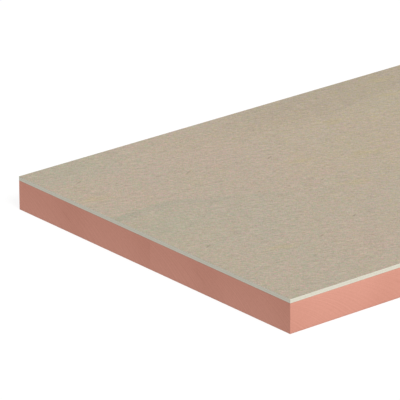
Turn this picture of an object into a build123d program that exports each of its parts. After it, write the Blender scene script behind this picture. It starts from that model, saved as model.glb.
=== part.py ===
from build123d import *
import os

# An insulated plasterboard sheet lying flat: a thick slab of rigid foam with a thin
# plasterboard bonded to its top. The board is a gypsum core between two paper liners.
# Millimetres, +Z up. The width runs along X and the length along Y, and the origin is
# the middle of the underside, where the sheet lies on the floor.

# Driving sizes of the sheet
board_width = 1200.0
board_length = 2400.0
foam_thickness = 90.0
plasterboard_thickness = 12.5

# The liners are part of the plasterboard's thickness, and the gypsum is what is left.
back_paper_thickness = 0.35
face_paper_thickness = 0.35
gypsum_thickness = plasterboard_thickness - back_paper_thickness - face_paper_thickness

# Layers from the floor up: the name of the piece and its thickness
LAYERS = [
    ("foam_slab", foam_thickness),
    ("back_paper", back_paper_thickness),
    ("gypsum_core", gypsum_thickness),
    ("face_paper", face_paper_thickness),
]


def sheet_layer(underside, thickness):
    """One layer of the sheet, from its cross-section carried along the length.

    The section is drawn across the width, standing on the layer below, and all four
    edges are sawn square and flush, so every layer has the same width and length.
    """
    section_plane = Plane.XZ.offset(-board_length / 2)
    with BuildPart() as layer:
        with BuildSketch(section_plane):
            with Locations((0, underside)):
                Rectangle(board_width, thickness, align=(Align.CENTER, Align.MIN))
        extrude(amount=board_length)
    return layer.part


def stacked_sheet():
    """Every layer by name, each seated on the face of the one below."""
    pieces = {}
    underside = 0.0
    for name, thickness in LAYERS:
        pieces[name] = sheet_layer(underside, thickness)
        underside = underside + thickness
    return pieces


os.makedirs("parts", exist_ok=True)
for name, piece in stacked_sheet().items():
    export_step(piece, f"parts/{name}.step")
    box = piece.bounding_box()
    print(name, f"z {box.min.Z:.2f} to {box.max.Z:.2f} mm, {piece.volume / 1e9:.5f} m3")
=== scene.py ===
# %% [markdown]
# # Insulated drywall sheet
# A wall-lining sheet lies flat, paper side up: a thick slab of salmon-pink rigid foam with a
# thin plasterboard bonded over it. The CAD model holds every size and place, as four flush
# layers. This notebook gives each layer the surface that the real one has: the mottled liner
# paper, the crumbly sawn gypsum, and the foam with the arcs that a saw left on its edges.

import bpy
import numpy as np
from mathutils import Matrix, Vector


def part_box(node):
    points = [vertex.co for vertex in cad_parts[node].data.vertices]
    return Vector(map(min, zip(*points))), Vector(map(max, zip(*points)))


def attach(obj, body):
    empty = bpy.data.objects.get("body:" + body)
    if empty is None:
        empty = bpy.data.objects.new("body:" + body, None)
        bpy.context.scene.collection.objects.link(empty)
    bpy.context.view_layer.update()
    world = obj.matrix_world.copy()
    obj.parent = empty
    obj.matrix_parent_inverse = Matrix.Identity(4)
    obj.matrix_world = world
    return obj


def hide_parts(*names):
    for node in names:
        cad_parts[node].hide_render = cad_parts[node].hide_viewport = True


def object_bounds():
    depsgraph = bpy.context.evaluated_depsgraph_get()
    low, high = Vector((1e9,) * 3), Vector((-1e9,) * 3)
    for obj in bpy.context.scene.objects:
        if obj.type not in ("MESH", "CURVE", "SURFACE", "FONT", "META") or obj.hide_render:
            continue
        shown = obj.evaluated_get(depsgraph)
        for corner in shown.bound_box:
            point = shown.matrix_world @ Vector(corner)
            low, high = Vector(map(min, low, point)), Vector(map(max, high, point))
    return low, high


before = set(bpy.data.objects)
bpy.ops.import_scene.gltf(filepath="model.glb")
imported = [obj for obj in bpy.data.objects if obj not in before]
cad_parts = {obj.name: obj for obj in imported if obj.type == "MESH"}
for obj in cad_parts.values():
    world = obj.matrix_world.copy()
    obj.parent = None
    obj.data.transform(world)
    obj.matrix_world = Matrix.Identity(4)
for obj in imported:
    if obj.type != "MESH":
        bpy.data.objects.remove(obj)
cad_box = [list(corner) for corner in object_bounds()]
MM = 0.001
HALF_WIDTH, HALF_LENGTH, SHEET_TOP = cad_box[1]
print("sheet", [round(high - low, 4) for low, high in zip(*cad_box)], "m")

# %% [markdown]
# ## The camera
# The view is from above the near corner, with a very long lens, so that the edges hardly
# converge. A camera could be nudged by eye until it fits. Here it is worked out: the sheet's
# straight edges give the direction, the lens and the distance, and one named pixel, where the
# near bottom corner shows, says where the camera stands. A camera looks along its own minus Z,
# so its three axes and its place are the columns of its matrix.

# %% The camera
FRAME_PIXELS = 400
SENSOR_MM = 36.0
LENS_PIXELS = 4465.0
AZIMUTH, ELEVATION, ROLL = np.radians([50.40, 21.43, -0.17])
CORNER_DISTANCE = 12.060
CORNER_PIXEL = np.array([290.12, 334.27])
UPRIGHT = np.array([0, 0, 1.0])


def add_object(name, data):
    """A new object of the scene, at the origin."""
    added = bpy.data.objects.new(name, data)
    bpy.context.scene.collection.objects.link(added)
    return added


def stand(thing, own_x, own_y, own_z, place):
    """Moves a camera or a lamp to its place, with its own axes along three directions."""
    pose = np.eye(4)
    pose[:3] = np.stack([own_x, own_y, own_z, place], axis=1)
    thing.matrix_world = Matrix(pose)


level_forward = np.array([-np.sin(AZIMUTH), np.cos(AZIMUTH), 0])
level_right = np.array([np.cos(AZIMUTH), np.sin(AZIMUTH), 0])
forward = np.cos(ELEVATION) * level_forward - np.sin(ELEVATION) * UPRIGHT
level_up = np.cross(level_right, forward)
right = np.cos(ROLL) * level_right + np.sin(ROLL) * level_up
up = np.cos(ROLL) * level_up - np.sin(ROLL) * level_right
near_corner = np.array([HALF_WIDTH, -HALF_LENGTH, 0])
from_centre = (CORNER_PIXEL - FRAME_PIXELS / 2) * CORNER_DISTANCE / LENS_PIXELS
eye = near_corner - CORNER_DISTANCE * forward - from_centre[0] * right + from_centre[1] * up

camera = add_object("camera", bpy.data.cameras.new("camera"))
camera.data.sensor_width = SENSOR_MM
camera.data.lens = LENS_PIXELS / FRAME_PIXELS * SENSOR_MM
camera.data.clip_end = 200.0
stand(camera, right, up, -forward, eye)
bpy.context.scene.camera = camera
print("the camera stands at", eye.round(3), "with a lens of", round(camera.data.lens, 1), "mm")

# %% [markdown]
# ## Noise for meshes
# Sawn foam and broken gypsum need uneven surfaces with a known grain. Blender's own noise lives
# in materials, so the meshes use a lattice: random numbers one cell apart, joined by a smooth
# step. Every call names its seed, so the sheet comes out the same each time.

# %% Lattice noise
LATTICE = 1024


def smooth(x, start, end):
    """0 before start, 1 after end, and three t squared less two t cubed between them."""
    t = np.clip((x - start) / (end - start), 0, 1)
    return t * t * (3 - 2 * t)


def noise(x, y, cell_x, cell_y, seed):
    """A smooth random value from -1 to 1 over x and y: the four lattice numbers around each
    point, mixed by the smooth step both ways."""
    lattice = np.random.default_rng(seed).uniform(-1, 1, (LATTICE, LATTICE))
    i, j = np.floor(x / cell_x).astype(int), np.floor(y / cell_y).astype(int)
    s, t = smooth(x / cell_x - i, 0, 1), smooth(y / cell_y - j, 0, 1)
    left, right_of = i % LATTICE, (i + 1) % LATTICE
    below, above = j % LATTICE, (j + 1) % LATTICE
    low_row = lattice[left, below] * (1 - s) + lattice[right_of, below] * s
    high_row = lattice[left, above] * (1 - s) + lattice[right_of, above] * s
    return low_row * (1 - t) + high_row * t


print("noise at three places", noise(np.array([0.1, 0.2, 0.3]), np.zeros(3), 0.05, 0.05, 1).round(2))

# %% [markdown]
# ## The saw's arcs
# The sheets are cut from a block by a circular saw, whose teeth leave arcs as wide as the blade.
# Straight scratches would be simpler, but the arcs show: they fall from upper left to lower
# right on every edge and are flatter at the top, so the blade's centre passed below the slab.
# A point's blade position is where its arc crosses the middle of the edge. It says which groove
# the point lies in, both for the mesh and for the foam's finish.

# %% Where an arc runs
BLADE_RADIUS = 380 * MM
BLADE_CENTRE_BELOW = 275 * MM


def arc_shift(height):
    """How far right of its middle an arc is at a height: the half chord of the blade's circle
    at that height, less the half chord at the middle of the sheet."""
    chord = np.sqrt(BLADE_RADIUS ** 2 - (height + BLADE_CENTRE_BELOW) ** 2)
    middle = np.sqrt(BLADE_RADIUS ** 2 - (SHEET_TOP / 2 + BLADE_CENTRE_BELOW) ** 2)
    return chord - middle


print("an arc shifts", round((arc_shift(0) - arc_shift(SHEET_TOP)) / MM), "mm from top to bottom")

# %% [markdown]
# ## A layer as a surface
# A box would have each layer's size, but nothing for the light to catch. Here the edge of a
# layer is a grid instead: columns around its four sides, and rows up its thickness. Each point
# is pushed into the layer by a relief. Where the columns lean along the saw's arcs, a groove
# runs down a column, and a coarse grid still draws it sharply. The lean fades out at the
# corners, where two sides share a column. Seen from outside, every side runs left to right.

# %% The grid of an edge
# Each side: its first corner, its direction and its outward direction, as signs of X and Y
SIDES = [((-1, -1), (1, 0), (0, -1)), ((1, -1), (0, 1), (1, 0)),
         ((1, 1), (-1, 0), (0, 1)), ((-1, 1), (0, -1), (-1, 0))]
HALF = np.array([HALF_WIDTH, HALF_LENGTH])
LEAN_FADE = 150 * MM


def edge_grid(columns, heights, leaning):
    """Each side as a pair of grids, of columns by rows: the even place of each column along its
    side, and its real place, which is the even one moved by the arc's shift at each height."""
    grids = []
    for _, run, _ in SIDES:
        length = 2 * abs(np.dot(run, HALF))
        count = columns[0] if run[0] else columns[1]
        even = np.linspace(0, length, count + 1)
        lean = smooth(even, 0, LEAN_FADE) * smooth(length - even, 0, LEAN_FADE) * leaning
        shift = arc_shift(heights)
        grids.append((even[:, None] + 0 * shift, even[:, None] + lean[:, None] * shift))
    return grids


def edge_points(grids, heights, relief, corner_wear):
    """Points of the edge, side after side. A point is its side's corner, plus its place along
    the side, less the relief's depth outwards. A corner is worn back along both its sides."""
    points = []
    for side, ((corner, run, outward), (_, place)) in enumerate(zip(SIDES, grids)):
        rows = heights + 0 * place
        depth = relief(side, place, rows)
        along = place[..., None] * np.array(run)
        spot = np.array(corner) * HALF + along - depth[..., None] * np.array(outward)
        spot[0] = np.array(corner) * (HALF - corner_wear)
        points.append(np.dstack([spot, rows])[:-1].reshape(-1, 3))
    return np.concatenate(points)


def edge_quads(column_count, row_count):
    """Quads of the edge that face outwards: left to right, then upwards, seen from outside."""
    column, row = np.meshgrid(np.arange(column_count), np.arange(row_count - 1), indexing="ij")
    here = column * row_count + row
    after = (column + 1) % column_count * row_count + row
    return np.stack([here, after, after + 1, here + 1], axis=-1).reshape(-1, 4)


print("an edge is", round(4 * HALF.sum(), 2), "m around, and leans fully", LEAN_FADE, "m from a corner")

# %% [markdown]
# The two faces of a layer need a much coarser grid than its edge. One large polygon would close
# each, but it couldn't cockle, and Blender would cut it into long thin triangles. Instead their
# cells are large, and a ring of triangles zips the fine columns to the coarse cells: the
# columns nearest to a cell's corner fan into it, and one more triangle closes each gap between
# two fans.

# %% The faces of a layer


def face_points(cells, inset, height_at):
    """Points of a face: an even grid of cells, a little inside the edge, at the height that
    height_at gives for each x and y."""
    x = np.linspace(inset - HALF_WIDTH, HALF_WIDTH - inset, cells[0] + 1)
    y = np.linspace(inset - HALF_LENGTH, HALF_LENGTH - inset, cells[1] + 1)
    x, y = np.meshgrid(x, y, indexing="ij")
    return np.stack([x, y, height_at(x, y)], axis=-1).reshape(-1, 3)


def face_polygons(rim, cells, start):
    """Triangles and quads of a face that looks up. rim holds the numbers of the edge's points
    in the order of the sides, and start is the number of the face's first point."""
    grid = start + np.arange((cells[0] + 1) * (cells[1] + 1)).reshape(cells[0] + 1, cells[1] + 1)
    coarse = np.concatenate([grid[:-1, 0], grid[-1, :-1], grid[:0:-1, -1], grid[0, :0:-1]])
    step = len(rim) // len(coarse)
    nearest = coarse[(np.arange(len(rim)) + step // 2) // step % len(coarse)]
    fans = np.stack([rim, np.roll(rim, -1), nearest], axis=-1)
    between = rim[step // 2::step]
    gaps = np.stack([between, np.roll(coarse, -1), coarse], axis=-1)
    quads = np.stack([grid[:-1, :-1], grid[1:, :-1], grid[1:, 1:], grid[:-1, 1:]], axis=-1)
    return np.concatenate([fans, gaps]), quads.reshape(-1, 4)


zipped, _ = face_polygons(np.arange(24), (2, 2), 24)
print("24 columns zip to a face of 2 by 2 cells with", len(zipped), "triangles")

# %% [markdown]
# ## Two maps
# A map says where each corner of a mesh lies on a flat picture. "Saw" gives the blade position
# and the height, for a finish that follows the arcs. "OFBake" lays the layer out flat, so that
# its finish can be saved as a picture: its edge as strips one above the other, with the leaning
# columns made upright, and its top and underside as two areas. Blender could unwrap it by
# itself, but here each layer says which share of the map each part gets, so that the picture
# spends its pixels on what shows.

# %% The maps
# The gap between two areas, and left and right of each, as a share of the map
MAP_GAP = 0.004


def at_corners(grid):
    """A grid's values at the four corners of each of its quads."""
    return np.stack([grid[:-1, :-1], grid[1:, :-1], grid[1:, 1:], grid[:-1, 1:]], axis=-1).ravel()


def saw_map(grids, heights):
    """The blade's position, running on from side to side, and the height."""
    start, across, upwards = 0.0, [], []
    for even, place in grids:
        across.append(at_corners(start + place - arc_shift(heights)))
        upwards.append(at_corners(heights + 0 * place))
        start = start + even[-1, 0]
    return np.stack([np.concatenate(across), np.concatenate(upwards)], axis=-1)


def strip_map(grids, heights, strip_length, low, high):
    """The edge as strips that share the map from low to high: the even place in its strip runs
    across, and the height runs up."""
    across, number, rise, done = [], [], [], 0
    for even, _ in grids:
        middles = (even[1:, 0] + even[:-1, 0]) / 2
        strip = np.repeat(np.floor(middles / strip_length), 4 * (len(heights) - 1))
        across.append(at_corners(even) / strip_length - strip)
        number.append(strip + done)
        rise.append(at_corners((heights - heights[0]) / np.ptp(heights) + 0 * even))
        done = done + strip.max() + 1
    share = (high - low) / done
    across = MAP_GAP + np.concatenate(across) * (1 - 2 * MAP_GAP)
    upwards = MAP_GAP / 2 + np.concatenate(rise) * (share - MAP_GAP)
    return np.stack([across, low + share * np.concatenate(number) + upwards], axis=-1)


def flat_map(points, low, high):
    """A top or an underside, with its length across the map and its width from low to high."""
    across = (points[:, 1] + HALF_LENGTH) / (2 * HALF_LENGTH)
    upwards = (points[:, 0] + HALF_WIDTH) / (2 * HALF_WIDTH)
    across = MAP_GAP + across * (1 - 2 * MAP_GAP)
    return np.stack([across, low + MAP_GAP / 2 + upwards * (high - low - MAP_GAP)], axis=-1)


print("the near corner lies at", flat_map(near_corner[None], 0, 1)[0].round(3), "of a flat map")

# %% [markdown]
# ## The layer builder
# Every layer is made in the same steps: grid, points, polygons, maps. The polygons could be
# added one by one with bmesh, but tens of thousands of them go faster as whole arrays. The
# finished piece stands for its CAD node and rides on the same body.

# %% The layer builder
# Two faces that meet at a larger angle than this show an edge
SMOOTH_BELOW = np.radians(35)


def rows_of(node, rows, arris):
    """Heights of an edge's rows: the node's two faces, and even rows that start an arris away."""
    low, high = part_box(node)[0][2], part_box(node)[1][2]
    return np.concatenate([[low], np.linspace(low + arris, high - arris, rows), [high]])


def build_layer(node, columns, rows, arris, cells, relief, leaning=0, corner_wear=0.3 * MM,
                inset=4 * MM, dip=lambda x, y: 0 * x, strip_length=1.2, shares=(0.5, 0.3, 0.2)):
    """One layer of the sheet, closed, in place of its CAD node.

    columns and cells are counts along the width and the length, relief gives the depth of each
    edge point, dip lowers the top, and shares are the edge's, the top's and the underside's
    parts of the map. The polygons are the edge first, then the top, then the underside.
    """
    heights = rows_of(node, rows, arris)
    grids = edge_grid(columns, heights, leaning)
    edge = edge_points(grids, heights, relief, corner_wear)
    top = face_points(cells, inset, lambda x, y: heights[-1] - dip(x, y))
    underside = face_points(cells, inset, lambda x, y: heights[0] + 0 * x)
    points = np.concatenate([edge, top, underside])

    rim = np.arange(0, len(edge), len(heights))
    side_quads = edge_quads(len(rim), len(heights))
    top_triangles, top_quads = face_polygons(rim + len(heights) - 1, cells, len(edge))
    low_triangles, low_quads = face_polygons(rim, cells, len(edge) + len(top))
    blocks = [side_quads, top_quads, top_triangles, low_quads[:, ::-1], low_triangles[:, ::-1]]
    corners = np.concatenate([block.ravel() for block in blocks])
    sizes = np.concatenate([np.full(len(block), block.shape[1]) for block in blocks])

    mesh = bpy.data.meshes.new(node)
    mesh.vertices.add(len(points))
    mesh.vertices.foreach_set("co", points.ravel())
    mesh.loops.add(len(corners))
    mesh.loops.foreach_set("vertex_index", corners)
    mesh.polygons.add(len(sizes))
    mesh.polygons.foreach_set("loop_start", np.cumsum(sizes) - sizes)
    mesh.update(calc_edges=True)

    edge_share, top_share, _ = shares
    flat = points[corners[side_quads.size:]]
    top_corners = top_quads.size + top_triangles.size
    saw = np.concatenate([saw_map(grids, heights), flat[:, :2]])
    laid_out = np.concatenate([
        strip_map(grids, heights, strip_length, 0, edge_share),
        flat_map(flat[:top_corners], edge_share, edge_share + top_share),
        flat_map(flat[top_corners:], edge_share + top_share, 1),
    ])
    for name, values in (("Saw", saw), ("OFBake", laid_out)):
        mesh.uv_layers.new(name=name).uv.foreach_set("vector", values.ravel().astype(np.float32))

    mesh.shade_smooth()
    mesh.set_sharp_from_angle(angle=SMOOTH_BELOW)
    piece = add_object(node + "_surface", mesh)
    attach(piece, "root")
    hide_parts(node)
    triangles = sum(len(block) * (block.shape[1] - 2) for block in blocks)
    print(piece.name, len(points), "points,", triangles, "triangles,",
          "faulty" if mesh.validate() else "sound")
    return piece


print("a foam edge of 5 rows would have them at", rows_of("foam_slab", 3, 1 * MM).round(3), "m")

# %% [markdown]
# ## The foam slab
# Rigid foam is sawn cleanly, but its cells tear a little. A displacement modifier could roughen
# it, but wouldn't know the arcs. The relief is worked out instead, at three scales: the blade's
# slow wander, the grooves of its teeth, of which a hand's breadth holds eight or ten, and the
# crushed cells along the arrises. The grooves are mostly under a tenth of a millimetre deep,
# which is enough for a low light to draw them.

# %% The foam's edges
# Each set of grooves: its spacing and its depth
GROOVES = [(13 * MM, 0.06 * MM), (9.5 * MM, 0.03 * MM)]
# Counted in spacings: how far a groove wanders, and over what distance it does so
GROOVE_WANDER, GROOVE_WANDER_CELL = 0.5, 2.5
PATCH_LENGTH, PATCH_HEIGHT, PATCH_SHARE = 70 * MM, 35 * MM, 0.9
WANDER_LENGTH, WANDER_HEIGHT, WANDER_DEPTH = 190 * MM, 140 * MM, 0.15 * MM
ARRIS_CELL, ARRIS_DEPTH = 7 * MM, 0.22 * MM
FOAM_CUT_BACK = 0.34 * MM


def foam_relief(side, place, height):
    """Depth of the foam's edge: the wander and the grooves, plus the worn arrises.

    A groove is a sine of the blade position, which wanders by a share of the spacing. It is
    faint in some patches and deep in others. The lowest and highest row are crushed by an
    uneven amount."""
    blade = place - arc_shift(height)
    seed = 10 * side
    slow = WANDER_DEPTH * noise(place, height, WANDER_LENGTH, WANDER_HEIGHT, seed)
    depth = FOAM_CUT_BACK + slow
    for number, (spacing, amount) in enumerate(GROOVES):
        strength = 1 + PATCH_SHARE * noise(blade, height, PATCH_LENGTH, PATCH_HEIGHT, seed + 1 + number)
        wander = noise(blade, 0 * height, GROOVE_WANDER_CELL * spacing, 1, seed + 4 + number)
        turns = blade / spacing + GROOVE_WANDER * wander
        depth = depth + amount * strength * np.sin(2 * np.pi * turns)
    arris = (height == height.min()) | (height == height.max())
    crushed = ARRIS_DEPTH * (1 + noise(place, height, ARRIS_CELL, 1, seed + 8))
    return np.clip(depth + arris * crushed, 0, None)


foam = build_layer(
    "foam_slab", columns=(480, 960), rows=15, arris=1 * MM, cells=(30, 60), relief=foam_relief,
    leaning=1, shares=(0.48, 0.04, 0.48))

# %% [markdown]
# ## The gypsum core
# Gypsum is cut by the same saw, but it breaks grain by grain and keeps no grooves. Its strip is
# only as thick as a finger, so it gets a finer grid: a sandy roughness, slow lumps, and a few
# air bubbles that the cut opened. Bump alone would shade them, but the strip's outline would
# stay ruler-straight.

# %% The gypsum's edges
SAND_CELL, SAND_DEPTH = 2.2 * MM, 0.05 * MM
LUMP_LENGTH, LUMP_HEIGHT, LUMP_DEPTH = 14 * MM, 7 * MM, 0.06 * MM
BUBBLE_CELL, BUBBLE_DEPTH, BUBBLE_FROM = 3.4 * MM, 0.5 * MM, 0.72
GYPSUM_CUT_BACK = 0.2 * MM


def gypsum_relief(side, place, height):
    """Depth of the gypsum's edge: fine sand and slow lumps, plus a pit wherever the bubble
    noise passes a limit."""
    seed = 100 + 10 * side
    sand = SAND_DEPTH * noise(place, height, SAND_CELL, SAND_CELL, seed)
    lumps = LUMP_DEPTH * noise(place, height, LUMP_LENGTH, LUMP_HEIGHT, seed + 1)
    bubbles = noise(place, height, BUBBLE_CELL, BUBBLE_CELL, seed + 2)
    pits = BUBBLE_DEPTH * smooth(bubbles, BUBBLE_FROM, 1)
    return np.clip(GYPSUM_CUT_BACK + sand + lumps + pits, 0, None)


gypsum = build_layer(
    "gypsum_core", columns=(960, 1920), rows=9, arris=0.5 * MM, cells=(30, 60),
    relief=gypsum_relief, strip_length=0.6, shares=(0.9, 0.05, 0.05))

# %% [markdown]
# ## The two liners
# The liners are heavy paper, about as thick as a fingernail. The saw leaves their edges a
# little furry. The face liner has dried on wet gypsum, so it isn't dead flat: it cockles by a
# tenth of a millimetre, which shows only when the light grazes it. A bump could fake that, but
# cells of a centimetre already hold it as real geometry.

# %% The papers
FUR_CELL, FUR_DEPTH = 3 * MM, 0.08 * MM
# Each size of cockle: its cell and its depth
COCKLES = [(260 * MM, 0.05 * MM), (90 * MM, 0.03 * MM), (32 * MM, 0.015 * MM)]
COCKLE_STRETCH = 1.5


def liner_relief(side, place, height):
    """Depth of a liner's edge: the furry cut, a smooth noise of a fibre's length."""
    return FUR_DEPTH * (1 + noise(place, height, FUR_CELL, 1, 200 + side))


def cockle(x, y):
    """How far the face liner dips: three sizes of smooth noise, longer along the sheet."""
    depth = sum(amount for _, amount in COCKLES) + 0 * x
    for number, (cell, amount) in enumerate(COCKLES):
        swell = noise(x + HALF_WIDTH, y + HALF_LENGTH, cell, COCKLE_STRETCH * cell, 300 + number)
        depth = depth + amount * swell
    return depth


back_liner = build_layer(
    "back_paper", columns=(240, 480), rows=2, arris=0.05 * MM, cells=(30, 60),
    relief=liner_relief, strip_length=0.6, shares=(0.9, 0.05, 0.05))
face_liner = build_layer(
    "face_paper", columns=(480, 960), rows=2, arris=0.05 * MM, cells=(120, 240),
    relief=liner_relief, dip=cockle, shares=(0.06, 0.9, 0.04))

# %% [markdown]
# ## A small language for finishes
# A finish is a tree of nodes, and its sums are long to wire by hand. Value wraps an output
# socket, so that a Python expression on it adds the Math nodes. Finish holds the tree and adds
# any other node in one way: its settings first, then what its sockets get. A colour never goes
# through a Math node, which would turn it grey, but through Mix and Vector Math.

# %% Values
class Value:
    """A number, vector or colour that varies over a surface: the output socket of a node."""

    def __init__(self, finish, output):
        self.finish = finish
        self.output = output

    def maths(self, operation, first, second):
        """A Math node on two numbers."""
        return self.finish.node("ShaderNodeMath", {"operation": operation}, {0: first, 1: second})

    def __add__(self, other):
        return self.maths("ADD", self, other)

    def __radd__(self, other):
        return self.maths("ADD", other, self)

    def __sub__(self, other):
        return self.maths("SUBTRACT", self, other)

    def __rsub__(self, other):
        return self.maths("SUBTRACT", other, self)

    def __mul__(self, other):
        return self.maths("MULTIPLY", self, other)

    def __rmul__(self, other):
        return self.maths("MULTIPLY", other, self)

    def __truediv__(self, other):
        return self.maths("DIVIDE", self, other)

    def __abs__(self):
        return self.maths("ABSOLUTE", self, 0.0)

    def at_least(self, other):
        """The larger of two numbers."""
        return self.maths("MAXIMUM", self, other)

    def remainder(self, period):
        """What is left over after as many whole periods as fit."""
        return self.maths("FLOORED_MODULO", self, period)

    def swing(self, amount):
        """A noise around a half, as a noise around nothing: less a half, times an amount."""
        return (self - 0.5) * amount


def level(red, green, blue):
    """A colour from screen levels of 0 to 255, as the linear values that shaders take."""
    share = np.array([red, green, blue]) / 255
    linear = np.where(share <= 0.04045, share / 12.92, ((share + 0.055) / 1.055) ** 2.4)
    return (*linear.tolist(), 1.0)


print("the screen level 128 is", round(level(128, 128, 128)[0], 3), "of white light")

# %% [markdown]
# Finish has a method for each kind of node that the sheet's finishes are made of. Blender's
# Mix node keeps a set of sockets for each type of data under the same names, so the ones for
# colours are found by their numbers. Its noise nodes have no seed, so a seed moves the noise.

# %% Finishes
MIX_FACTOR, MIX_A, MIX_B, MIX_RESULT = 0, 6, 7, 2
# How far one seed more moves the noise in X, Y and Z, and the noise of one number
SEED_MOVES, SEED_MOVES_LINES = (0.37, 0.71, 0.13), 3.7


class Finish:
    """The tree of nodes of a material or of the world."""

    def __init__(self, owner):
        owner.use_nodes = True
        self.owner = owner
        self.tree = owner.node_tree
        self.tree.nodes.clear()

    def node(self, kind, settings, sockets, output=0):
        """Adds a node with its settings, then sets or links its sockets. Returns an output, or
        nothing for a node that ends the tree."""
        made = self.tree.nodes.new(kind)
        for name, value in settings.items():
            setattr(made, name, value)
        for name, value in sockets.items():
            if isinstance(value, Value):
                self.tree.links.new(value.output, made.inputs[name])
            else:
                made.inputs[name].default_value = value
        return Value(self, made.outputs[output]) if len(made.outputs) else None

    def place(self):
        """The place on the sheet, in metres in the CAD's own frame."""
        return self.node("ShaderNodeTexCoord", {}, {}, "Object")

    def parts(self, vector):
        """The three numbers of a vector or colour."""
        split = self.node("ShaderNodeSeparateXYZ", {}, {0: vector})
        return [Value(self, output) for output in split.output.node.outputs]

    def vectors(self, operation, sockets, output="Vector"):
        """A Vector Math node."""
        return self.node("ShaderNodeVectorMath", {"operation": operation}, sockets, output)

    def turned(self, vector, centre, size, turn=0.0):
        """The vector as seen from centre, turned about Z and counted in sizes."""
        return self.node("ShaderNodeMapping", {"vector_type": "TEXTURE"},
                         {"Vector": vector, "Location": centre, "Rotation": (0, 0, turn), "Scale": size})

    def noise(self, vector, size, seed, detail=2.0, rough=0.5, turn=0.0, output="Fac", space="3D"):
        """Noise with grains of that size in X, Y and Z, around a half. In the space "2D" it is
        the same all the way down, and its grains are more alike in size."""
        grains = self.turned(vector, [seed * move for move in SEED_MOVES], size, turn)
        return self.node("ShaderNodeTexNoise", {"noise_dimensions": space},
                         {"Vector": grains, "Scale": 1.0, "Detail": detail, "Roughness": rough}, output)

    def lines(self, across, spacing, seed):
        """Noise of one number, around a half: lines of uneven strength across it."""
        return self.node("ShaderNodeTexNoise", {"noise_dimensions": "1D"},
                         {"W": across / spacing + SEED_MOVES_LINES * seed, "Scale": 1.0, "Detail": 0.0})

    def fade(self, value, start, end):
        """0 before start and 1 after end, with a smooth step between them."""
        return self.node("ShaderNodeMapRange", {"interpolation_type": "SMOOTHSTEP"},
                         {"Value": value, "From Min": start, "From Max": end})

    def spot(self, vector, centre, size, turn, soft):
        """1 inside an oval and 0 outside it, over a soft share of its size."""
        away = self.vectors("LENGTH", {0: self.turned(vector, centre, size, turn)}, "Value")
        return 1 - self.fade(away, 1 - soft, 1 + soft)

    def mix(self, first, second, share):
        """Two colours mixed: a share of the second on the first."""
        return self.node("ShaderNodeMix", {"data_type": "RGBA"},
                         {MIX_FACTOR: share, MIX_A: first, MIX_B: second}, MIX_RESULT)

    def lit(self, colour, amount):
        """A colour times a number."""
        return self.vectors("SCALE", {0: colour, "Scale": amount})

    def bump(self, height, depth):
        """A normal from a height of 0 to 1 that stands for depth in metres."""
        return self.node("ShaderNodeBump", {}, {"Height": height, "Distance": depth, "Strength": 1.0})

    def surface(self, colour, roughness, normal, specular):
        """Ends the tree with a Principled shader and returns the material."""
        shader = self.node("ShaderNodeBsdfPrincipled", {}, {
            "Base Color": colour, "Roughness": roughness, "Normal": normal,
            "Specular IOR Level": specular})
        self.node("ShaderNodeOutputMaterial", {}, {"Surface": shader})
        print(self.owner.name, len(self.tree.nodes), "nodes")
        return self.owner


def new_finish(name):
    """A new material's finish, and the place on the sheet."""
    finish = Finish(bpy.data.materials.new(name))
    return finish, finish.place()


print("a finish can be made of", ", ".join(name for name in vars(Finish) if name[0] != "_"))

# %% [markdown]
# ## The face liner
# Liner paper is pulped from waste paper. Seen close it is a felt of fibres; from a step back it
# is beige with a speckle of pink, green, straw and blue, where coloured fibres clump. Painting
# one noise on one colour would only make it dirty: here each noise gives three unlike channels,
# so a single node drives the tint, the warmth and the lightness. The first grain is a fine
# speckle. The next two are long and turned, because the fibres lie mostly one way, as the
# paper machine ran, and make faint streaks. The last crosses them, as some fibres do. Green and
# pink are equally yellow: what is yellower is so by warmth, or by a stained streak or fleck.

# %% The face liner's speckle
PAPER_GREEN, PAPER_PINK = level(153, 181, 141), level(213, 163, 162)
PAPER_BLUE, PAPER_STRAW = level(176, 169.5, 171), level(196, 173.5, 140)
PAPER_YELLOW, YELLOW_BETWEEN = level(186, 178, 126), (0.56, 0.71)
PAPER_DARK = level(104, 94, 80)
PAPER_LIGHTNESS = 0.992
SPECKLE = (2.7 * MM, 4.2 * MM, 4 * MM)
# Each grain: its size, its turn in degrees, its seed, and how much it tints, warms and lightens
GRAINS = [
    (SPECKLE, 0, 1, 1.7, 0.6, 0.42),
    ((2.4 * MM, 12 * MM, 1.0), -38, 3, 1.8, 1.0, 0.66),
    ((3.2 * MM, 50 * MM, 1.0), -25, 8, 1.1, 0.9, 0.56),
    ((3.6 * MM, 14 * MM, 1.0), 50, 9, 0.8, 0.1, 0.28),
]
LONGEST_GRAIN = 2
FLECKS, FLECK_TURN, FLECK_BETWEEN = (8 * MM, 13 * MM, 1.0), np.radians(-38), (0.585, 0.66)
CLOUD = (170 * MM, 240 * MM, 1.0)
CLOUD_TINT, CLOUD_WARMTH, CLOUD_LIGHT = 0.24, 0.35, 0.04
# Where the sheet turns from its near look to its far one, in metres from the near end
FAR_BETWEEN = (0.2, 1.2)
# What the tint, the warmth, and the yellow of streaks and of flecks are times near, and what the
# far look adds to that
TINT_NEAR, TINT_FAR = 1.3, -0.65
WARMTH_NEAR, WARMTH_FAR = 0.9, 0.4
YELLOW_NEAR, YELLOW_FAR = 0.06, 0.22
FLECK_NEAR, FLECK_FAR = 0.22, 0.24


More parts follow.
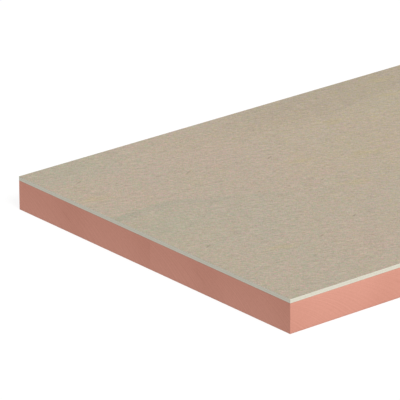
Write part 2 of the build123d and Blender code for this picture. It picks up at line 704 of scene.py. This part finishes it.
def paper_speckle(finish, place):
    """The paper's colour and its lightness.

    The colour is half green to pink by the tint, and half blue to straw by the warmth, stained
    yellow where the longest grain is warm, and in small flecks. Tint, warmth and lightness are
    sums of the grains' channels and of slow clouds. Towards the far end the tint swings less,
    the warmth swings more, and there is more yellow."""
    along = finish.parts(place)[1] + HALF_LENGTH
    far = finish.fade(along, *FAR_BETWEEN)
    cloud_tint, cloud_light, cloud_warmth = finish.parts(
        finish.noise(place, CLOUD, seed=2, detail=3.0, output="Color"))
    tint, warmth, lightness = 0.0, 0.0, PAPER_LIGHTNESS + cloud_light.swing(CLOUD_LIGHT)
    warm_channels = []
    for size, turn, seed, tints, warms, lightens in GRAINS:
        red, green, blue = finish.parts(finish.noise(
            place, size, seed, detail=3.0, turn=np.radians(turn), output="Color", space="2D"))
        tint = tint + red.swing(tints)
        warmth = warmth + blue.swing(warms)
        lightness = lightness + green.swing(lightens)
        warm_channels.append(blue)
    tint = tint * (TINT_NEAR + TINT_FAR * far) + cloud_tint.swing(CLOUD_TINT)
    warmth = warmth * (WARMTH_NEAR + WARMTH_FAR * far) + cloud_warmth.swing(CLOUD_WARMTH)
    colour = finish.mix(finish.mix(PAPER_GREEN, PAPER_PINK, 0.5 + tint),
                        finish.mix(PAPER_BLUE, PAPER_STRAW, 0.5 + warmth), 0.5)
    streaks = finish.fade(warm_channels[LONGEST_GRAIN], *YELLOW_BETWEEN)
    stained = streaks * (YELLOW_NEAR + YELLOW_FAR * far)
    flecks = finish.noise(place, FLECKS, seed=12, detail=1.0, turn=FLECK_TURN, space="2D")
    flecked = finish.fade(flecks, *FLECK_BETWEEN) * (FLECK_NEAR + FLECK_FAR * far)
    return finish.mix(colour, PAPER_YELLOW, stained + flecked), lightness


finest = min(size[0] for size, *_ in GRAINS)
print("the paper has", len(GRAINS), "grains, the finest", round(finest / MM, 1), "mm across")

# %% [markdown]
# On top of the speckle lie a few marks that this sheet has and the next one wouldn't: a tide
# mark where the near corner once got wet, soft patches of tint, small yellow stains, and
# slivers and specks of bark. One more patch makes the paper darker along the far long edge.
# They could be painted on a picture, but a picture blurs when seen close. The tide mark is
# worked out from its border, and the specks are the peaks of a noise. Each other mark is an
# oval by a Mapping node, placed from the near corner. Where a border is ragged, a noise has
# shifted the place before the mark is drawn.

# %% The face liner's marks
TONES = {"cool": level(152, 170, 147), "pink": level(200, 168, 152), "straw": level(188, 174, 130),
         "mauve": level(194, 170, 162), "dark": level(150, 138, 120), "edge": level(138, 152, 136)}
# Each patch: metres along from the near end and across from the near long edge, both radii, its
# turn, how soft it is, its tone and its strength
PATCHES = [
    (0.08, 0.62, 0.09, 0.05, 0.0, 0.8, "cool", 0.13),
    (0.14, 0.28, 0.25, 0.25, 0.0, 0.6, "cool", 0.03),
    (0.13, 1.16, 0.17, 0.09, 0.0, 0.6, "cool", 0.13),
    (0.12, 0.87, 0.16, 0.05, -0.3, 0.7, "pink", 0.1),
    (0.66, 0.85, 0.4, 0.3, -0.2, 0.7, "pink", 0.07),
    (0.56, 0.96, 0.1, 0.06, 0.0, 0.8, "mauve", 0.1),
    (0.47, 0.23, 0.16, 0.12, 0.6, 0.7, "pink", 0.13),
    (1.05, 0.8, 0.3, 0.3, 0.0, 0.6, "straw", 0.05),
    # This patch makes the paper darker along the middle of the far long edge
    (1.25, 1.15, 0.55, 0.12, 0.08, 0.5, "dark", 0.19),
    (1.9, 0.35, 0.35, 0.2, 0.5, 0.6, "cool", 0.12),
    (2.15, 0.9, 0.2, 0.18, 0.2, 0.6, "mauve", 0.12),
    (1.75, 0.75, 0.25, 0.2, -0.5, 0.6, "straw", 0.12),
]
# Each stain and sliver: metres along from the near end and across from the near long edge
STAINS = [(0.225, 0.3), (0.72, 0.54), (0.705, 0.772), (0.052, 0.915), (0.9, 0.697),
          (0.99, 0.96), (1.275, 1.02), (1.35, 1.14), (1.62, 0.26), (2.05, 0.61)]
STAIN_SIZE, STAIN_TURN = (15 * MM, 42 * MM, 1.0), np.radians(-15)
STAIN_SOFT, STAIN_STRENGTH = 0.8, 0.34
SLIVERS = [(0.367, 0.292), (0.655, 0.618), (0.652, 0.85), (0.397, 0.91), (0.102, 1.05),
           (0.075, 0.435), (0.54, 0.35), (1.53, 0.48), (1.88, 0.93), (2.24, 0.32)]
SLIVER_SIZE, SLIVER_TURN = (3 * MM, 13 * MM, 1.0), np.radians(24)
SLIVER_SOFT, SLIVER_STRENGTH = 0.5, 0.3
SPECKS, SPECK_BETWEEN, SPECK_STRENGTH = (3 * MM, 8 * MM, 1.0), (0.66, 0.76), 0.3
# The wet reached this far across from the long edge, less and less beyond the bend
TIDE_REACH, TIDE_BEND, TIDE_SLOPE = 0.777, 0.20, 0.51
TIDE_BORDER, TIDE_FADES_ALONG = (-4 * MM, 12 * MM), (0.05, 0.80)
TIDE_TINT, TIDE_TINT_LOST, TIDE_TINT_FADES = 0.11, 0.6, (50 * MM, 500 * MM)
TIDE_LINE, TIDE_LINE_FADES = 0.17, (15 * MM, 60 * MM)
RAGGED_CELL, RAGGED_REACH = 60 * MM, 50 * MM


def on_sheet(along, across):
    """The X, Y and Z of a place given from the near end and the near long edge."""
    return (HALF_WIDTH - across, along - HALF_LENGTH, SHEET_TOP)


def tide_mark(finish, ragged, colour):
    """The colour with the tide mark: a cool tint inside its border and a line along it. Inside
    is a place's distance from the border, positive on the wet side."""
    x, y, _ = finish.parts(ragged)
    along = y + HALF_LENGTH
    inside = TIDE_REACH - (along - TIDE_BEND).at_least(0.0) * TIDE_SLOPE - (HALF_WIDTH - x)
    wetted = finish.fade(inside, *TIDE_BORDER) * (1 - finish.fade(along, *TIDE_FADES_ALONG))
    tinted = 1 - TIDE_TINT_LOST * finish.fade(inside, *TIDE_TINT_FADES)
    lined = 1 - finish.fade(inside, *TIDE_LINE_FADES)
    colour = finish.mix(colour, TONES["cool"], wetted * tinted * TIDE_TINT)
    return finish.mix(colour, TONES["edge"], wetted * lined * TIDE_LINE)


def paper_marks(finish, place, colour):
    """The colour with the marks on it. The ragged place is the place plus a reach times noise."""
    jitter = finish.noise(place, (RAGGED_CELL,) * 3, seed=4, detail=3.0, output="Color")
    centred = finish.vectors("SUBTRACT", {0: jitter, 1: (0.5, 0.5, 0.5)})
    reach = (RAGGED_REACH, RAGGED_REACH, 0)
    ragged = finish.vectors("MULTIPLY_ADD", {0: centred, 1: reach, 2: place})
    colour = tide_mark(finish, ragged, colour)
    for along, across, reach_along, reach_across, turn, soft, tone, amount in PATCHES:
        size = (reach_across, reach_along, 1.0)
        patch = finish.spot(ragged, on_sheet(along, across), size, turn, soft)
        colour = finish.mix(colour, TONES[tone], patch * amount)
    for along, across in STAINS:
        stain = finish.spot(ragged, on_sheet(along, across), STAIN_SIZE, STAIN_TURN, STAIN_SOFT)
        colour = finish.mix(colour, TONES["straw"], stain * STAIN_STRENGTH)
    for along, across in SLIVERS:
        sliver = finish.spot(place, on_sheet(along, across), SLIVER_SIZE, SLIVER_TURN, SLIVER_SOFT)
        colour = finish.mix(colour, PAPER_DARK, sliver * SLIVER_STRENGTH)
    specks = finish.noise(place, SPECKS, seed=7, detail=1.0, turn=SLIVER_TURN)
    return finish.mix(colour, PAPER_DARK, finish.fade(specks, *SPECK_BETWEEN) * SPECK_STRENGTH)


print(len(PATCHES), "patches,", len(STAINS), "stains,", len(SLIVERS), "slivers and a tide mark")

# %% [markdown]
# The paper's feel comes last: single fibres, thinner than a millimetre, on a felt of rounder
# lumps. They could be real geometry only at millions of faces, so they are a bump of a tenth of
# a millimetre, and the felt makes the sheen uneven too.

# %% The face liner's finish
# A height is a grain's part of the bump
FIBRE, FIBRE_TURN, FIBRE_HEIGHT = (0.3 * MM, 3 * MM, 1.0), np.radians(35), 0.4
FELT, FELT_HEIGHT = (1.5 * MM,) * 3, 0.6
FACE_BUMP, FACE_SHEEN_SWING = 0.10 * MM, 0.2
PAPER_ROUGHNESS, PAPER_SPECULAR = 0.84, 0.25


def face_paper():
    """Speckle, then marks, then the lightness on both. Fibres and felt make the bump."""
    finish, place = new_finish("face_paper")
    colour, lightness = paper_speckle(finish, place)
    colour = finish.lit(paper_marks(finish, place, colour), lightness)
    fibres = finish.noise(place, FIBRE, seed=5, turn=FIBRE_TURN)
    felt = finish.noise(place, FELT, seed=6, detail=4.0, rough=0.65)
    normal = finish.bump(fibres * FIBRE_HEIGHT + felt * FELT_HEIGHT, FACE_BUMP)
    roughness = PAPER_ROUGHNESS + felt.swing(FACE_SHEEN_SWING)
    return finish.surface(colour, roughness, normal, PAPER_SPECULAR)


face_liner.data.materials.append(face_paper())

# %% [markdown]
# ## The back liner
# The back liner is the same paper, seen only as a grey-brown line under the gypsum. It could
# share the face liner's material, but the marks would be worked out for nothing, so it has the
# speckle alone.

# %% The back liner's colour
BACK_BUMP, BACK_ROUGHER = 0.05 * MM, 0.1


def back_paper():
    """One channel of speckle from green to pink, which also makes the bump and the sheen."""
    finish, place = new_finish("back_paper")
    speckle = finish.noise(place, SPECKLE, seed=11, detail=3.0)
    colour = finish.mix(PAPER_GREEN, PAPER_PINK, speckle)
    normal = finish.bump(speckle, BACK_BUMP)
    return finish.surface(colour, PAPER_ROUGHNESS + speckle * BACK_ROUGHER, normal, PAPER_SPECULAR)


back_liner.data.materials.append(back_paper())

# %% [markdown]
# ## The gypsum
# Gypsum is a pale cream, chalky and quite matt. The slurry is denser where it wets the liners,
# so the strip is a little paler along both of its borders. A plain cream would look like
# plastic. What makes it chalk is the grain, in its colour as much as in its bump, and the pin
# holes, which are darker because light hardly gets into them.

# %% The gypsum's colour
GYPSUM = level(226, 222.5, 206.5)
GYPSUM_CORE = level(219, 214.5, 197.5)
GYPSUM_PIT = level(188, 181, 162)
GYPSUM_LOW, GYPSUM_HIGH = (corner[2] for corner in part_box("gypsum_core"))
GYPSUM_GRAIN, GYPSUM_LUMPS, PIN_HOLES = (1.6 * MM,) * 3, (12 * MM, 12 * MM, 6 * MM), (2 * MM,) * 3
CORE_BETWEEN, CORE_STRENGTH, CORE_UNEVEN = (0.1, 0.7), 0.6, 0.5
PIN_HOLE_BETWEEN, PIN_HOLE_STRENGTH, PIN_HOLE_DEPTH = (0.62, 0.70), 0.6, 0.8
GYPSUM_LIGHTNESS, GYPSUM_LIGHTNESS_SWING = 1.02, 0.2
GYPSUM_BUMP, GYPSUM_ROUGHNESS, GYPSUM_SHEEN_SWING = 0.25 * MM, 0.9, 0.1
MATT_SPECULAR = 0.3


def gypsum_plaster():
    """The colour goes from cream to the duller core by the distance from the strip's middle,
    and to the pit colour in the pin holes, all times a lightness with grain."""
    finish, place = new_finish("gypsum")
    z = finish.parts(place)[2]
    middle = (GYPSUM_LOW + GYPSUM_HIGH) / 2
    from_middle = abs(z - middle) / (GYPSUM_HIGH - middle)
    grain = finish.noise(place, GYPSUM_GRAIN, seed=21, detail=4.0, rough=0.6)
    lumps = finish.noise(place, GYPSUM_LUMPS, seed=22)
    core = (1 - finish.fade(from_middle, *CORE_BETWEEN)) * CORE_STRENGTH + lumps.swing(CORE_UNEVEN)
    holes = finish.fade(finish.noise(place, PIN_HOLES, seed=23, detail=1.0), *PIN_HOLE_BETWEEN)
    colour = finish.mix(GYPSUM, GYPSUM_CORE, core)
    colour = finish.mix(colour, GYPSUM_PIT, holes * PIN_HOLE_STRENGTH)
    colour = finish.lit(colour, GYPSUM_LIGHTNESS + grain.swing(GYPSUM_LIGHTNESS_SWING))
    normal = finish.bump(grain - holes * PIN_HOLE_DEPTH, GYPSUM_BUMP)
    roughness = GYPSUM_ROUGHNESS + grain.swing(GYPSUM_SHEEN_SWING)
    return finish.surface(colour, roughness, normal, MATT_SPECULAR)


gypsum.data.materials.append(gypsum_plaster())

# %% [markdown]
# ## The foam
# The foam's colour is all through it. The saw's lines lie on it, lighter and darker along the
# arcs. The feed beats too: every 0.6 m from the near corner the pattern starts anew, with two
# broad bands that come out darker and a burnt smudge in one of them. Within a few millimetres of
# its top and bottom the colour is a little darker: painted shade along its foot and under the
# paper. A wave texture could draw the lines, but all alike: noise of one number, the blade
# position, makes each as long as its arc and as uneven as a torn one. A darker line is also a
# redder one, so the pattern mixes two colours, where a multiplied one would only turn grey.

# %% The foam's colours
FOAM_DARK, FOAM_PALE = level(211.5, 145.5, 126.2), level(231.5, 165.5, 146.2)
FOAM_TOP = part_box("foam_slab")[1][2]
FOAM_SHARE = 0.54
# Each grain of the foam: its size, how much it lightens, and its part of the bump
CELLS, CELLS_SHARE, CELLS_HEIGHT = (0.9 * MM,) * 3, 1.0, 0.8
CRUMBS, CRUMBS_SHARE, CRUMBS_HEIGHT = (3.5 * MM,) * 3, 0.6, 0.2
FOAM_CLOUDS, CLOUDS_SHARE = (70 * MM, 70 * MM, 45 * MM), 0.06
FOAM_BUMP, FOAM_ROUGHNESS, FOAM_SHEEN_SWING = 0.20 * MM, 0.85, 0.15
# Each set of lines: their spacing, seed, and strength on the ends and on the long edges
SAW_LINES = [(8 * MM, 31, 0.40, 0.55), (7 * MM, 51, 0.50, 0.45), (6 * MM, 35, 0.95, 0.20)]
TORN = (30 * MM, 40 * MM, 1.0)
FEED_PERIOD = 0.6
# Each band: its middle from the near corner, its half width and how much it darkens
FEED_BANDS = [(0.0, 0.125, 0.21), (0.357, 0.115, 0.21)]
BAND_LEAN, BAND_RAGGED = 0.3, 0.02
# The smudge's place is its beat and its height
SMUDGE_PLACE, SMUDGE_SIZE = (0.388, 0.045, 0), (5 * MM, 13 * MM, 1.0)
SMUDGE_SOFT, SMUDGE_SHARE = 0.9, 0.22
# Painted shade: within this distance of the top and bottom faces the foam darkens by this share, along
# its foot and under the paper
EDGE_SHADE_BETWEEN, EDGE_SHADE_SHARE = (2.25 * MM, 4.5 * MM), 0.12
# Painted light and shade: how much lighter the top is than the bottom, on the ends and on the long
# edges. The ends get a painted floor bounce at the bottom, the long edges painted contact shade
PAINTED_LIGHT_TILT_ENDS, PAINTED_LIGHT_TILT_SIDES = -0.22, 0.26
SIDE_BETWEEN = (HALF_WIDTH - 4 * MM, HALF_WIDTH - 2 * MM)


def saw_lines(finish, saw, on_side):
    """How much the lines lighten: each set's line noise, times how torn the foam is there, times
    the set's strength on this kind of edge."""
    blade = finish.parts(saw)[0]
    share = 0.0
    for spacing, seed, on_ends, on_sides in SAW_LINES:
        torn = finish.noise(saw, TORN, seed + 1)
        strength = on_ends + on_side * (on_sides - on_ends)
        share = share + finish.lines(blade, spacing, seed).swing(torn * strength)
    return share


def feed_marks(finish, place, saw, clouds):
    """How much the bands and the smudge darken. The beat is the distance from the near corner
    around the sheet, left over after whole periods; a band is one less a smooth step of the
    beat's distance from its middle. The smudge lies on an arc, so its beat is the blade's."""
    x, y, z = finish.parts(place)
    beat = ((HALF_WIDTH - x) + (y + HALF_LENGTH)).remainder(FEED_PERIOD)
    share = 0.0
    for centre, spread, strength in FEED_BANDS:
        away = abs(beat - centre - (z - FOAM_TOP / 2) * BAND_LEAN) + clouds.swing(BAND_RAGGED)
        share = share + (1 - finish.fade(away, 0.0, spread)) * strength
    blade_beat = abs(finish.parts(saw)[0] - 2 * HALF_WIDTH).remainder(FEED_PERIOD)
    stalled = finish.node("ShaderNodeCombineXYZ", {}, {"X": blade_beat, "Y": z})
    return share + finish.spot(stalled, SMUDGE_PLACE, SMUDGE_SIZE, 0.0, SMUDGE_SOFT) * SMUDGE_SHARE


def sawn_foam():
    """The share of the pale colour: about half, plus the cells, crumbs and clouds, plus the saw's
    lines and a painted light tilt from bottom to top, less the bands, the smudge and a painted
    shade band at the top and bottom faces."""
    finish, place = new_finish("sawn_foam")
    saw = finish.node("ShaderNodeUVMap", {"uv_map": "Saw"}, {})
    x, _, z = finish.parts(place)
    cells = finish.noise(place, CELLS, seed=33, detail=3.0, rough=0.7)
    crumbs = finish.noise(place, CRUMBS, seed=36)
    clouds = finish.noise(place, FOAM_CLOUDS, seed=34, detail=3.0)
    on_side = finish.fade(abs(x), *SIDE_BETWEEN)
    share = FOAM_SHARE + cells.swing(CELLS_SHARE) + crumbs.swing(CRUMBS_SHARE)
    share = share + clouds.swing(CLOUDS_SHARE) + saw_lines(finish, saw, on_side)
    share = share - feed_marks(finish, place, saw, clouds)
    # Painted light and shade: the ends lighter at the bottom as if lit by the floor, the long edges
    # darker there as if shaded
    painted_light_tilt = PAINTED_LIGHT_TILT_ENDS + on_side * (PAINTED_LIGHT_TILT_SIDES - PAINTED_LIGHT_TILT_ENDS)
    # Painted shade: a darker band within a few millimetres of the top and bottom faces
    from_face = FOAM_TOP / 2 - abs(z - FOAM_TOP / 2)
    painted_edge_shade = 1 - finish.fade(from_face, *EDGE_SHADE_BETWEEN)
    share = share + (z / FOAM_TOP).swing(painted_light_tilt) - painted_edge_shade * EDGE_SHADE_SHARE
    colour = finish.mix(FOAM_DARK, FOAM_PALE, share)
    normal = finish.bump(cells * CELLS_HEIGHT + crumbs * CRUMBS_HEIGHT, FOAM_BUMP)
    roughness = FOAM_ROUGHNESS + cells.swing(FOAM_SHEEN_SWING)
    return finish.surface(colour, roughness, normal, MATT_SPECULAR)


foam.data.materials.append(sawn_foam())

# %% [markdown]
# The slab's two faces are covered with a thin tissue of glass fibres, which keeps the foam's
# skin whole. A see-through layer over the foam would be truer, but it is nearly clear, so one
# opaque finish does: the foam's colour under a pale swirl of hair-fine strands.

# %% The tissue on the foam's faces
TISSUE_PALE = level(236, 214, 203)
# Each set of strands: its size, its seed and its turn in degrees
STRANDS = [((0.5 * MM, 12 * MM, 1.0), 41, 20), ((12 * MM, 0.5 * MM, 1.0), 42, -15)]
STRAND_BETWEEN, STRAND_SHARE = (0.45, 0.7), 0.5
TISSUE_CLOUD, TISSUE_CLOUD_SHARE = (60 * MM,) * 3, 0.4
TISSUE_BUMP, TISSUE_ROUGHNESS, TISSUE_ROUGHER = 0.05 * MM, 0.8, 0.1
# A face looks up or down where its normal's Z passes this
LOOKS_UP_OR_DOWN = 0.9


def tissue_face():
    """The share of the pale colour: both sets of strands, each where its noise is high, plus
    slow clouds."""
    finish, place = new_finish("tissue_face")
    clouds = finish.noise(place, TISSUE_CLOUD, seed=43)
    pale, relief = clouds * TISSUE_CLOUD_SHARE, 0.0
    for size, seed, turn in STRANDS:
        strands = finish.noise(place, size, seed, detail=3.0, turn=np.radians(turn))
        pale = pale + finish.fade(strands, *STRAND_BETWEEN) * STRAND_SHARE
        relief = relief + strands
    colour = finish.mix(FOAM_DARK, TISSUE_PALE, pale)
    normal = finish.bump(relief, TISSUE_BUMP)
    roughness = TISSUE_ROUGHNESS + clouds * TISSUE_ROUGHER
    return finish.surface(colour, roughness, normal, MATT_SPECULAR)


foam.data.materials.append(tissue_face())
normals = np.empty(3 * len(foam.data.polygons), dtype=np.float32)
foam.data.polygons.foreach_get("normal", normals)
has_tissue = (abs(normals[2::3]) > LOOKS_UP_OR_DOWN).astype(np.int32)
foam.data.polygons.foreach_set("material_index", has_tissue)
print("foam faces", np.bincount(has_tissue).tolist(), "sawn and tissue")

# %% [markdown]
# ## The floor
# The sheet lies on a wide pale floor. A white one under lamps would need so much light that the
# sheet would be washed out. This one glows by itself instead. The camera, and reflections, see
# a bright glow and a grey matt surface added to it. Together they are white, but for a faint
# shadow at the sheet's foot. All other light only gets the bounce that such a floor gives.

# %% The floor
FLOOR_SIZE = 400.0
FLOOR_DROP = 0.2 * MM
FLOOR_GLOW, FLOOR_GREY, FLOOR_BOUNCE = 0.88, 0.15, 0.545


def seen_rays(finish):
    """1 for rays of the camera, of gloss and of glass, which should see a white room."""
    camera_ray, gloss_ray, glass_ray = (
        finish.node("ShaderNodeLightPath", {}, {}, f"Is {kind} Ray")
        for kind in ("Camera", "Glossy", "Transmission"))
    return camera_ray.at_least(gloss_ray).at_least(glass_ray)


def floor_finish():
    """A bounce for most rays, and for the seen ones a glow plus a grey matt surface."""
    finish = Finish(bpy.data.materials.new("floor"))
    bounce = finish.node("ShaderNodeEmission", {}, {"Strength": FLOOR_BOUNCE})
    shade = finish.node("ShaderNodeBsdfDiffuse", {}, {"Color": (FLOOR_GREY,) * 3 + (1.0,)})
    glow = finish.node("ShaderNodeEmission", {}, {"Strength": FLOOR_GLOW})
    seen = finish.node("ShaderNodeAddShader", {}, {0: shade, 1: glow})
    mixed = finish.node("ShaderNodeMixShader", {}, {0: seen_rays(finish), 1: bounce, 2: seen})
    finish.node("ShaderNodeOutputMaterial", {}, {"Surface": mixed})
    return finish.owner


corner_signs = ((-1, -1), (1, -1), (1, 1), (-1, 1))
corners = [(x * FLOOR_SIZE / 2, y * FLOOR_SIZE / 2, -FLOOR_DROP) for x, y in corner_signs]
floor_mesh = bpy.data.meshes.new("floor")
floor_mesh.from_pydata(corners, [], [(0, 1, 2, 3)])
floor_mesh.materials.append(floor_finish())
floor = add_object("floor", floor_mesh)
print("the floor is", FLOOR_SIZE, "m wide,", FLOOR_DROP / MM, "mm below the sheet")

# %% [markdown]
# ## The light
# The light is a bright overcast room with one large soft lamp to the right, so the long edge and
# the paper are fully lit, and the end is in half shade. Softboxes would do the same near the
# sheet, but the sheet is long: a sun lamp with a wide angle lights both its ends alike.

# %% The room and the lamp
ROOM_LIGHT = 0.5
# A sun of strength pi makes a white face that is turned to it show as white
LAMP_SHARE = 0.655
LAMP_FROM = np.array([0.70, -0.11, 0.70])
LAMP_ANGLE = np.radians(25)

world = bpy.data.worlds.new("room")
bpy.context.scene.world = world
room = Finish(world)
seen = seen_rays(room)
background = room.node("ShaderNodeBackground", {}, {
    "Color": (1, 1, 1, 1), "Strength": seen + (1 - seen) * ROOM_LIGHT})
room.node("ShaderNodeOutputWorld", {}, {"Surface": background})

lamp = add_object("lamp", bpy.data.lights.new("lamp", "SUN"))
lamp.data.energy = LAMP_SHARE * np.pi
lamp.data.angle = LAMP_ANGLE
toward = LAMP_FROM / np.linalg.norm(LAMP_FROM)
sideways = np.cross(UPRIGHT, toward)
sideways = sideways / np.linalg.norm(sideways)
stand(lamp, sideways, np.cross(toward, sideways), toward, np.zeros(3))
bpy.context.scene.view_settings.view_transform = "Standard"
print("lamp from", toward.round(2), "room", ROOM_LIGHT)

# %% [markdown]
# ## The end
